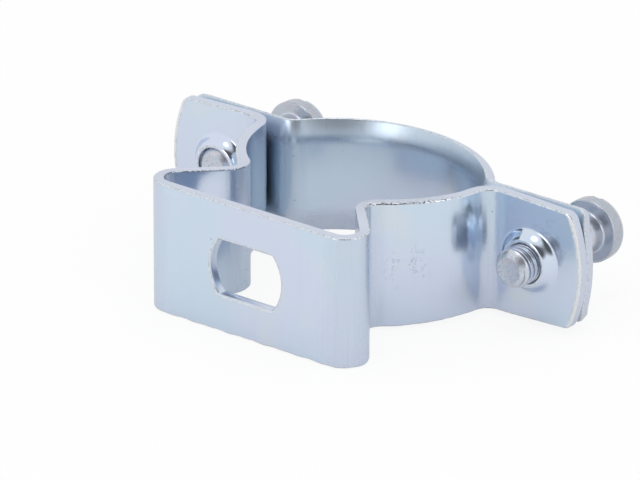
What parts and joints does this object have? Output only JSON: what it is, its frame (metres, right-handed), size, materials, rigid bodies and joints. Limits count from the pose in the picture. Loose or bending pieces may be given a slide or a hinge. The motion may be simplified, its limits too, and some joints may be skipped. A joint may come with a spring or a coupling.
{
  "type": "spacer clamp",
  "caption": "Pipe clamp with a dovetail spacer foot, slotted mounting plate, loose rear strap and slotted screws in drawn tapped collars.",
  "frame": {"origin": "on the axis of the front strap's ring, in the plane of the plate's lower edge", "axes": "+X along the ears, -Y out of the mounting plate towards the wall, +Z along the pipe"},
  "size_m": [0.0622, 0.0417, 0.0167],
  "materials": {
    "zinc_strap": "bright zinc plating, satin",
    "zinc_screw": "bright zinc plating, satin"
  },
  "bodies": {
    "front_strap": {"front_strap": "zinc_strap"},
    "rear_strap": {"rear_strap": "zinc_strap"},
    "left_screw": {"left_screw": "zinc_screw"},
    "right_screw": {"right_screw": "zinc_screw"}
  },
  "joints": [
    {"name": "rear_strap_slide", "type": "slide", "parent": "front_strap", "child": "rear_strap", "axis": [0, 1, 0], "range_m": [-0.0007, 0.0078]},
    {"name": "left_screw_turn", "type": "hinge", "parent": "front_strap", "child": "left_screw", "pos_m": [-0.02355, -0.0013, 0.00835], "axis": [0, 0.9995, -0.0314], "continuous": true},
    {"name": "right_screw_turn", "type": "hinge", "parent": "front_strap", "child": "right_screw", "pos_m": [0.02355, -0.0013, 0.00835], "axis": [0, 0.9999, -0.0166], "continuous": true}
  ]
}
